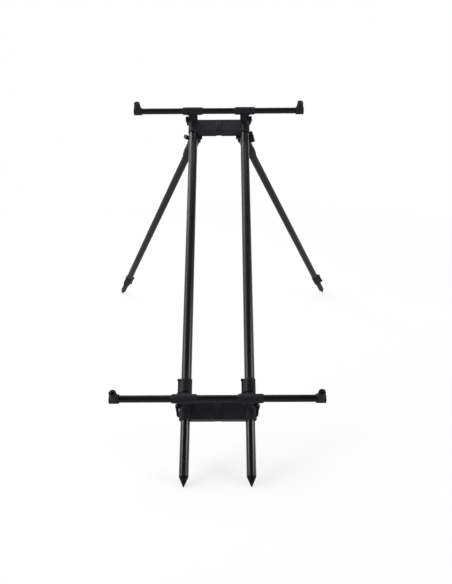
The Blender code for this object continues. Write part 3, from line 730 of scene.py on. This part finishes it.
def tee_insert():
    """The bush with a real thread cut in its bore, 20 turns to the inch."""
    high = SOCKET_HEIGHT - FIT
    low = high - INSERT_LENGTH
    bm = bmesh.new()
    rings = []
    levels = round(INSERT_LENGTH / THREAD_PITCH * THREAD_STEPS)
    for level in range(levels + 1):
        z = low + INSERT_LENGTH * level / levels
        ring = []
        for step in range(ROUND_SMALL):
            turns = (z / THREAD_PITCH - step / ROUND_SMALL) % 1.0
            radius = INSERT_BORE + THREAD_DEPTH * (1 - abs(2 * turns - 1))
            fade = min(1.0, (high - z) / THREAD_PITCH)
            radius += THREAD_DEPTH * (1 - fade)
            a = math.tau * step / ROUND_SMALL
            ring.append(bm.verts.new((radius * math.cos(a), radius * math.sin(a), z)))
        rings.append(ring)
    for radius, z in ((INSERT_RADIUS - FIT, high), (INSERT_RADIUS, high - FIT), (INSERT_RADIUS, low)):
        angles = (math.tau * step / ROUND_SMALL for step in range(ROUND_SMALL))
        rings.append([bm.verts.new((radius * math.cos(a), radius * math.sin(a), z)) for a in angles])
    for first, second in zip(rings, rings[1:] + rings[:1]):
        for step in range(ROUND_SMALL):
            ahead = (step + 1) % ROUND_SMALL
            bm.faces.new((first[step], first[ahead], second[ahead], second[step]))
    return mesh_from(bm)


def lock_pin_at(tube_radius):
    """Where the pin of a lock stands beside the tube, in the collar's own frame."""
    reach = tube_radius + COLLAR_WALL + LEVER_GAP + KNUCKLE_RADIUS
    angle = math.radians(LOCK_PIN_ANGLE)
    return reach * math.cos(angle), reach * math.sin(angle)


def lock_collar(tube_radius, inner_radius, taper):
    """The collar with a shallow turned groove near each end."""
    outer = tube_radius + COLLAR_WALL
    seat, guide = tube_radius + FIT, inner_radius + FIT
    groove = COLLAR_GROOVE
    outline = [(0, 0), (outer, 0)]
    for z in (LUG_LENGTH + groove, COLLAR_LENGTH - LUG_LENGTH - 3 * groove):
        outline += [(outer, z), (outer - groove, z + groove / 2), (outer - groove, z + 3 * groove / 2),
                    (outer, z + 2 * groove)]
    outline += [(outer, COLLAR_LENGTH)]
    end = COLLAR_LENGTH + taper
    if taper:
        outline += [(guide + TUBE_WALL, end)]
    outline = rounded(outline + [(0, end)], COLLAR_EDGE)
    pin = lock_pin_at(tube_radius)
    solids = [turned(outline)]
    for low in (0, COLLAR_LENGTH - LUG_LENGTH):
        high = low + LUG_LENGTH
        ear = rounded([(0, low), (LUG_RADIUS, low), (LUG_RADIUS, high), (0, high)], LUG_EDGE)
        solids.append(moved(turned(ear, ROUND_SMALL), at(*pin, 0)))
    inside = turned([(0, -COLLAR_LENGTH), (seat + EDGE, -COLLAR_LENGTH), (seat + EDGE, -FIT), (seat, EDGE),
                     (seat, COLLAR_SEAT + FIT), (guide, COLLAR_SEAT + FIT), (guide, end - FIT),
                     (guide + 2 * FIT, end + FIT), (guide + 2 * FIT, 2 * COLLAR_LENGTH),
                     (0, 2 * COLLAR_LENGTH)])
    hole = cylinder(LOCK_PIN_RADIUS + FIT, -COLLAR_LENGTH, 2 * COLLAR_LENGTH, ROUND_TINY)
    return cut(moulded(solids, *COLLAR_GRAIN), inside, moved(hole, at(*pin, 0)))


def lock_lever(tube_radius):
    """The wrapped lever, its free end turned up as a thumb lip with fine ridges."""
    low, high = LUG_LENGTH + FIT, COLLAR_LENGTH - LUG_LENGTH - FIT
    inner = tube_radius + COLLAR_WALL + LEVER_GAP
    outer = inner + LOCK_LEVER_THICKNESS
    outline = arc((0, 0), inner, LOCK_PIN_ANGLE, LOCK_LEVER_END_ANGLE, steps=40)
    outline += arc((0, 0), outer, LOCK_LEVER_END_ANGLE, LOCK_PIN_ANGLE, steps=40)
    pin = lock_pin_at(tube_radius)
    solids = [moved(prism(outline, low, high, LOCK_LEVER_EDGE), at(-pin[0], -pin[1], 0)),
              cylinder(KNUCKLE_RADIUS, low, high, ROUND_SMALL)]
    for step in range(LOCK_RIDGES):
        angle = math.radians(LOCK_LEVER_END_ANGLE + LOCK_RIDGE_START + LOCK_RIDGE_SPACING * step)
        ridge = cylinder(RIDGE_RADIUS, low + LOCK_RIDGE_INSET, high - LOCK_RIDGE_INSET, ROUND_RIDGE)
        x, y = outer * math.cos(angle) - pin[0], outer * math.sin(angle) - pin[1]
        solids.append(moved(ridge, at(x, y, 0)))
    hole = cylinder(LOCK_PIN_RADIUS + FIT, -COLLAR_LENGTH, 2 * COLLAR_LENGTH, ROUND_TINY)
    return cut(moulded(solids, *LOCK_LEVER_GRAIN), hole)


def lock_pin():
    """The pin through both lugs of a lock collar."""
    outline = rounded([(0, FIT), (LOCK_PIN_RADIUS, FIT), (LOCK_PIN_RADIUS, COLLAR_LENGTH - FIT),
                       (0, COLLAR_LENGTH - FIT)], LOCK_PIN_EDGE)
    return turned(outline, ROUND_TINY)


class Leg:
    """The frames and lengths of one front leg."""

    def __init__(self, side):
        self.pivot = FRONT @ Vector((side * HINGE_HALF_SPACING, -HINGE_BACK, -HINGE_DROP))
        foot = Vector((side * FRONT_FEET_SPREAD / 2, FRONT_FEET_REACH / 2, SPIKE_TIP_RADIUS))
        self.length = (foot - self.pivot).length
        down = (foot - self.pivot).normalized()
        up_tube = (POD.to_3x3() @ Vector((0, 1, 0))).normalized()
        self.axis = down.cross(up_tube).normalized()
        self.frame = frame_of(self.pivot, self.axis, down.cross(self.axis), down)
        self.bracket = frame_of(self.pivot, self.axis, up_tube, self.axis.cross(up_tube))
        self.fold = math.degrees(down.angle(-up_tube))
        outward = self.axis * side
        self.bolt = frame_of(self.pivot, up_tube, outward.cross(up_tube), outward)
        self.collar = LEG_TUBE_START + LEG_TUBE_LENGTH - COLLAR_SEAT
        self.inner_end = self.length - SPIKE_LENGTH


def hinge_bracket(side, leg):
    """The tongue that the leg turns on, with its stop, and the plate that holds it to the crosspiece."""
    to_pod = FRONT.inverted() @ leg.bracket
    spread = leg.fold + 180
    stop = math.radians(spread) + math.acos((HEAD_SLOT_DEPTH - FIT) / STOP_RADIUS)
    outline = [(TONGUE_RADIUS, HINGE_DROP), (-TONGUE_RADIUS, HINGE_DROP)]
    outline += arc((0, 0), TONGUE_RADIUS, 180, spread, steps=12)
    outline += [(STOP_RADIUS * math.cos(stop), STOP_RADIUS * math.sin(stop))]
    outline += [(TONGUE_RADIUS, -STOP_SHOULDER_DROP)]
    half = TONGUE_THICKNESS / 2
    tongue = moved(prism(outline, -half, half), to_pod @ FACING_SIDE)
    top = -PLATE_THICKNESS / 2 - FIT
    inner, outer = sorted((side * FOOT_PLATE_INNER, side * FOOT_PLATE_OUTER))
    near, far = -FOOT_PLATE_LENGTH / 2 - HINGE_BACK, FOOT_PLATE_LENGTH / 2 - HINGE_BACK
    corners = [(inner, near), (outer, near), (outer, far), (inner, far)]
    foot = rounded(corners, FOOT_PLATE_CORNER, closed=True)
    plate = prism(foot, top - FOOT_PLATE_THICKNESS, top + HINGE_DROP)
    above = block((-TUBE_SPACING, TUBE_SPACING), (-PLATE_LENGTH, PLATE_LENGTH), (top, top + 2 * HINGE_DROP))
    ring = moved(cylinder(MAIN_TUBE_RADIUS + RING_WALL + FIT, -TUBE_SPACING, TUBE_SPACING),
                 at(side * HALF_SPACING, 0, 0) @ UP_TUBE)
    hole = moved(cylinder(BOLT_RADIUS + FIT, -TONGUE_RADIUS, TONGUE_RADIUS), to_pod @ ACROSS)
    return cut(moulded([tongue, plate], *HINGE_GRAIN), above, ring, hole)


def leg_head():
    """The fork round the bracket's tongue, and the stepped neck that holds the leg tube."""
    cheeks = arc((0, 0), HEAD_CHEEK_RADIUS, 0, -180, steps=32)
    cheeks += [(-HEAD_CHEEK_RADIUS, HEAD_SHOULDER), (HEAD_CHEEK_RADIUS, HEAD_SHOULDER)]
    slot = TONGUE_THICKNESS / 2 + FIT
    gap = block((-slot, slot), (-2 * HEAD_RADIUS, 2 * HEAD_RADIUS), (-2 * HEAD_RADIUS, HEAD_SLOT_DEPTH))
    fork = moved(prism(cheeks, -HEAD_RADIUS, HEAD_RADIUS, CHEEK_EDGE), FACING_SIDE)
    fork = common(fork, cylinder(HEAD_CORNER_RADIUS, -2 * HEAD_RADIUS, HEAD_LENGTH))
    low = HEAD_SLOT_DEPTH + FIT
    mouth = LEG_TUBE_RADIUS + 2 * TUBE_WALL
    neck = rounded([(0, low), (HEAD_RADIUS, low), (HEAD_RADIUS, HEAD_WAIST_START),
                    (HEAD_WAIST_RADIUS, HEAD_WAIST_AT), (HEAD_FLANGE_RADIUS, HEAD_WAIST_AT + 2 * EDGE),
                    (HEAD_NECK_RADIUS, HEAD_NECK_AT), (mouth, HEAD_LENGTH), (0, HEAD_LENGTH)], NECK_EDGE)
    seat = cylinder(LEG_TUBE_RADIUS + FIT, LEG_TUBE_START - FIT, 2 * HEAD_LENGTH)
    hole = moved(cylinder(BOLT_RADIUS + FIT, -2 * HEAD_RADIUS, 2 * HEAD_RADIUS), ACROSS)
    return cut(moulded([fork, turned(neck)], *HINGE_GRAIN), gap, seat, hole)


def hinge_bolt():
    """The bolt with a hexagon socket in its low head."""
    low = -HEAD_RADIUS - FIT
    high = HEAD_RADIUS + BOLT_THREAD
    outline = rounded([(0, low - BOLT_HEAD), (BOLT_HEAD_RADIUS, low - BOLT_HEAD), (BOLT_HEAD_RADIUS, low),
                       (BOLT_RADIUS, low), (BOLT_RADIUS, high), (0, high)], BOLT_EDGE)
    socket = cylinder(BOLT_SOCKET_RADIUS, low - 2 * BOLT_HEAD, low - BOLT_HEAD / 3, HEXAGON)
    return cut(turned(outline), socket)


def wing_knob():
    """The tapered hub and the pair of wings in one moulding."""
    low = HEAD_RADIUS + FIT
    high = low + KNOB_LENGTH
    hub = turned(rounded([(0, low), (KNOB_HUB_RADIUS, low), (KNOB_HUB_RADIUS * KNOB_TAPER, high),
                          (0, high)], KNOB_HUB_EDGE))
    x, y = KNOB_WING_SPAN / 2, KNOB_WING_WIDTH / 2
    outline = rounded([(-x, -y), (x, -y), (x, y), (-x, y)], KNOB_WING_CORNER, closed=True)
    wings = prism(outline, high - KNOB_WING_DEPTH, high - EDGE, KNOB_WING_EDGE)
    hole = cylinder(BOLT_RADIUS + FIT, 0, HEAD_RADIUS + BOLT_THREAD + FIT)
    return cut(moulded([hub, wings], *KNOB_GRAIN), hole)


def end_cap():
    """The low domed cap in the top of a main tube."""
    spigot = MAIN_TUBE_RADIUS - TUBE_WALL - FIT
    dome = [(MAIN_TUBE_RADIUS * x, CAP_THICKNESS * z) for x, z in CAP_DOME]
    return turned([(0, -SPIGOT_LENGTH), (spigot, -SPIGOT_LENGTH), (spigot, FIT), (MAIN_TUBE_RADIUS, FIT),
                   *dome, (0, CAP_THICKNESS)])


def screw_head():
    """A small pan head with a cross recess, on z = 0."""
    head = turned(rounded(SCREW_OUTLINE, SCREW_EDGE), ROUND_TINY)
    slots = [moved(block(*SCREW_SLOT), turn(angle, "Z")) for angle in (0, 90)]
    return cut(head, *slots)


# The pieces, placed as the solids are


def dress_ends(name, place, tube_radius):
    """One crosspiece with its bar, holders, levers and sockets."""
    piece(f"{name}_crosspiece", crosspiece(tube_radius), place, "moulding")
    axis = place @ at(0, HOLDER_AT, BAR_HEIGHT)
    half = TEE_SPACING / 2 + TEE_LENGTH / 2 - TEE_END_WALL - FIT
    piece(f"{name}_bar", pipe(BAR_RADIUS, BAR_RADIUS - TUBE_WALL, -half, half), axis @ ACROSS, "bar_tube")
    for word, side in SIDES:
        post = at(side * HALF_SPACING, HOLDER_AT, BAR_HEIGHT)
        piece(f"{name}_{word}_bar_holder", bar_holder(), place @ post, "moulding")
        pin = place @ at(side * (HALF_SPACING + CAM_PIN_OUT), HOLDER_AT - CAM_PIN_BACK, CAM_LUG_TOP + FIT)
        piece(f"{name}_{word}_cam_lever", cam_lever(side), pin, "lever")
        piece(f"{name}_{word}_cam_pin", cam_pin(), pin, "steel")
        end = axis @ at(side * TEE_SPACING / 2, 0, 0)
        piece(f"{name}_{word}_tee", tee(side), end, "moulding")
        socket = end @ turn(-TEE_LEAN, "X")
        piece(f"{name}_{word}_tee_insert", tee_insert(), socket, "insert", sharp_from=30.0)


def dress_tubes():
    """The main tubes with their caps and locks, and the rear legs inside them."""
    low = MAIN_COLLAR_AT - COLLAR_SEAT
    high = FRONT_CROSSPIECE_AT + RING_ABOVE - CAP_THICKNESS
    for word, side in SIDES:
        axis = POD @ at(side * HALF_SPACING, 0, 0)
        tube = pipe(MAIN_TUBE_RADIUS, MAIN_TUBE_RADIUS - TUBE_WALL, 0, high - low)
        piece(f"{word}_main_tube", tube, axis @ at(0, low, 0) @ UP_TUBE, "main_tube")
        piece(f"{word}_main_tube_cap", end_cap(), axis @ at(0, high, 0) @ UP_TUBE, "lever")
        collar = axis @ at(0, MAIN_COLLAR_AT, 0) @ DOWN_TUBE
        shape = lock_collar(MAIN_TUBE_RADIUS, REAR_TUBE_RADIUS, 0)
        piece(f"{word}_main_lock_collar", shape, collar, "moulding")
        hinge = collar @ at(*lock_pin_at(MAIN_TUBE_RADIUS), 0)
        piece(f"{word}_main_lock_lever", lock_lever(MAIN_TUBE_RADIUS), hinge, "lever")
        piece(f"{word}_main_lock_pin", lock_pin(), hinge, "steel")
        foot = axis @ UP_TUBE
        tube = pipe(REAR_TUBE_RADIUS, REAR_TUBE_RADIUS - TUBE_WALL, 0, REAR_TUBE_LENGTH)
        piece(f"{word}_rear_leg_tube", tube, foot @ at(0, 0, SPIKE_LENGTH), "gloss_tube")
        piece(f"{word}_rear_spike", spike(REAR_TUBE_RADIUS), foot, "dark_steel")


def dress_leg(word, side):
    """One folding leg, its hinge and the two screws of its bracket."""
    leg = Leg(side)
    piece(f"{word}_hinge_bracket", hinge_bracket(side, leg), FRONT, "moulding")
    under_plate = -PLATE_THICKNESS / 2 - FOOT_PLATE_THICKNESS
    for end, along in (("near", -SCREW_SPACING / 2), ("far", SCREW_SPACING / 2)):
        seat = FRONT @ at(side * SCREW_OUT, along - HINGE_BACK, under_plate) @ turn(180, "X")
        riding(f"{word}_bracket_screw_{end}", screw_head(), seat, "dark_steel", BODY_OF["front_crosspiece"])
    piece(f"{word}_leg_head", leg_head(), leg.frame, "moulding")
    piece(f"{word}_hinge_bolt", hinge_bolt(), leg.bolt, "dark_steel")
    piece(f"{word}_hinge_knob", wing_knob(), leg.bolt @ turn(KNOB_TURNS[word], "Z"), "lever")
    tube = pipe(LEG_TUBE_RADIUS, LEG_TUBE_RADIUS - TUBE_WALL, 0, LEG_TUBE_LENGTH)
    piece(f"{word}_front_leg_tube", tube, leg.frame @ at(0, 0, LEG_TUBE_START), "satin_tube")
    collar = leg.frame @ at(0, 0, leg.collar)
    shape = lock_collar(LEG_TUBE_RADIUS, INNER_LEG_RADIUS, LEG_COLLAR_TAPER)
    piece(f"{word}_leg_lock_collar", shape, collar, "moulding")
    hinge = collar @ at(*lock_pin_at(LEG_TUBE_RADIUS), 0)
    piece(f"{word}_leg_lock_lever", lock_lever(LEG_TUBE_RADIUS), hinge, "lever")
    piece(f"{word}_leg_lock_pin", lock_pin(), hinge, "steel")
    inner = pipe(INNER_LEG_RADIUS, INNER_LEG_RADIUS - TUBE_WALL, -INNER_LEG_LENGTH, 0)
    piece(f"{word}_front_inner_tube", inner, leg.frame @ at(0, 0, leg.inner_end), "satin_tube")
    foot = leg.frame @ at(0, 0, leg.length) @ turn(180, "X")
    piece(f"{word}_front_spike", spike(INNER_LEG_RADIUS), foot, "dark_steel")


for name, place, tube_radius in (("front", FRONT, MAIN_TUBE_RADIUS), ("rear", REAR, REAR_TUBE_RADIUS)):
    dress_ends(name, place, tube_radius)
dress_tubes()
for word, side in SIDES:
    dress_leg(word, side)


# The studio

WHITE = (1.0, 1.0, 1.0, 1.0)

# The floor: its colour where it is seen and where it lights the object, and its white glow with distance
FLOOR_RADIUS = 60.0
FLOOR_SEEN = (0.95, 0.95, 0.95)
FLOOR_BOUNCE = (0.35, 0.35, 0.35)
GLOW_REACH = (0.9, 2.6)
GLOW_SHARE = (0.75, 1.0)

# The even light, and the brightness that is mirrored at heights of the sky from 0 level to 1 overhead
AMBIENT = 0.20
SKY_HEIGHT = (0.10, 0.36)
SKY_LIGHT = (1.0, 0.10)

# Each lamp's name, place, target, size and power in watts
LAMPS = (
    ("overhead", (0.0, 1.4, 2.9), (0, 0.4, 0.4), (2.8, 2.0), 38),
    ("left", (-2.6, -0.95, 1.5), (0, -0.4, 0.2), (1.8, 0.9), 40),
    ("right", (2.6, -1.05, 1.5), (0, -0.4, 0.2), (1.6, 0.9), 38),
    ("left back", (-2.15, 1.05, 2.6), (0, 0.1, 0.5), (2.4, 1.6), 62),
)

# The camera: focal length and photo height in pixels, sensor in millimetres, place in metres and degrees
PHOTO_FOCAL = 605
PHOTO_HEIGHT = 584
SENSOR_HEIGHT = 36.0
CAMERA_PLACE = (0.0298, -1.7901, 0.9353)
CAMERA_PITCH = 21.033
CAMERA_HEADING = -0.335
CAMERA_ROLL = -0.407


def surroundings(tree):
    """1 for the rays that show the surroundings, straight from the camera or mirrored, and 0 for others."""
    path = tree.nodes.new("ShaderNodeLightPath").outputs
    return larger(tree, path["Is Camera Ray"], path["Is Glossy Ray"])


def floor():
    """A white floor that throws little light back and fades into the white background with distance."""
    bm = bmesh.new()
    bmesh.ops.create_circle(bm, cap_ends=True, segments=96, radius=FLOOR_RADIUS)
    made = bpy.data.objects.new("studio_floor", mesh_from(bm))
    bpy.context.collection.objects.link(made)
    look = Surface("studio_white")
    look.set(Roughness=0.9, Specular_IOR_Level=0.0)
    seen = surroundings(look.tree)
    look.colour(seen, FLOOR_BOUNCE, FLOOR_SEEN)
    distance = look.add("ShaderNodeVectorMath", operation="LENGTH")
    look.link(look.place, distance.inputs[0])
    glow = ranged(look.tree, distance.outputs["Value"], GLOW_REACH, GLOW_SHARE, "SMOOTHSTEP")
    share = look.add("ShaderNodeMath", operation="MULTIPLY")
    look.link(glow, share.inputs[0])
    look.link(seen, share.inputs[1])
    white = look.add("ShaderNodeEmission")
    white.inputs["Color"].default_value = WHITE
    mix = look.add("ShaderNodeMixShader")
    look.link(share.outputs["Value"], mix.inputs["Fac"])
    look.link(look.shader.outputs["BSDF"], mix.inputs[1])
    look.link(white.outputs["Emission"], mix.inputs[2])
    look.link(mix.outputs["Shader"], look.tree.nodes["Material Output"].inputs["Surface"])
    made.data.materials.append(look.material)


def lamp(name, place, target, size, power):
    """A soft rectangular lamp aimed at a point."""
    light = bpy.data.lights.new(name, "AREA")
    light.shape = "RECTANGLE"
    light.size, light.size_y = size
    light.energy = power
    made = bpy.data.objects.new(name, light)
    bpy.context.collection.objects.link(made)
    made.location = place
    made.rotation_euler = (Vector(target) - Vector(place)).to_track_quat("-Z", "Y").to_euler()


def world():
    """Even light for shading and a white background; its mirror image is dimmer overhead."""
    made = bpy.data.worlds.new("studio")
    bpy.context.scene.world = made
    made.use_nodes = True
    tree = made.node_tree
    ambient = tree.nodes["Background"]
    ambient.inputs["Color"].default_value = WHITE
    ambient.inputs["Strength"].default_value = AMBIENT
    seen = tree.nodes.new("ShaderNodeBackground")
    seen.inputs["Color"].default_value = WHITE
    direction = tree.nodes.new("ShaderNodeTexCoord")
    height = tree.nodes.new("ShaderNodeSeparateXYZ")
    tree.links.new(direction.outputs["Generated"], height.inputs["Vector"])
    mirrored = ranged(tree, height.outputs["Z"], SKY_HEIGHT, SKY_LIGHT, "SMOOTHSTEP")
    path = tree.nodes.new("ShaderNodeLightPath").outputs
    tree.links.new(larger(tree, path["Is Camera Ray"], mirrored), seen.inputs["Strength"])
    mix = tree.nodes.new("ShaderNodeMixShader")
    tree.links.new(surroundings(tree), mix.inputs["Fac"])
    tree.links.new(ambient.outputs["Background"], mix.inputs[1])
    tree.links.new(seen.outputs["Background"], mix.inputs[2])
    tree.links.new(mix.outputs["Shader"], tree.nodes["World Output"].inputs["Surface"])


def camera():
    """The camera fitted to the photo."""
    pitch, heading, roll = (math.radians(angle) for angle in (CAMERA_PITCH, CAMERA_HEADING, CAMERA_ROLL))
    level = math.cos(pitch)
    ahead = Vector((math.sin(heading) * level, math.cos(heading) * level, -math.sin(pitch)))
    right = Vector((math.cos(heading), -math.sin(heading), 0))
    up = right.cross(ahead)
    across = right * math.cos(roll) + up * math.sin(roll)
    above = up * math.cos(roll) - right * math.sin(roll)
    data = bpy.data.cameras.new("photo_camera")
    data.sensor_fit = "VERTICAL"
    data.sensor_height = SENSOR_HEIGHT
    data.lens = SENSOR_HEIGHT * PHOTO_FOCAL / PHOTO_HEIGHT
    made = bpy.data.objects.new("photo_camera", data)
    bpy.context.collection.objects.link(made)
    made.matrix_world = frame_of(CAMERA_PLACE, across, above, -ahead)
    bpy.context.scene.camera = made


floor()
world()
camera()
for name, place, target, size, power in LAMPS:
    lamp(name, place, target, size, power)

view = bpy.context.scene.view_settings
view.view_transform = "Standard"
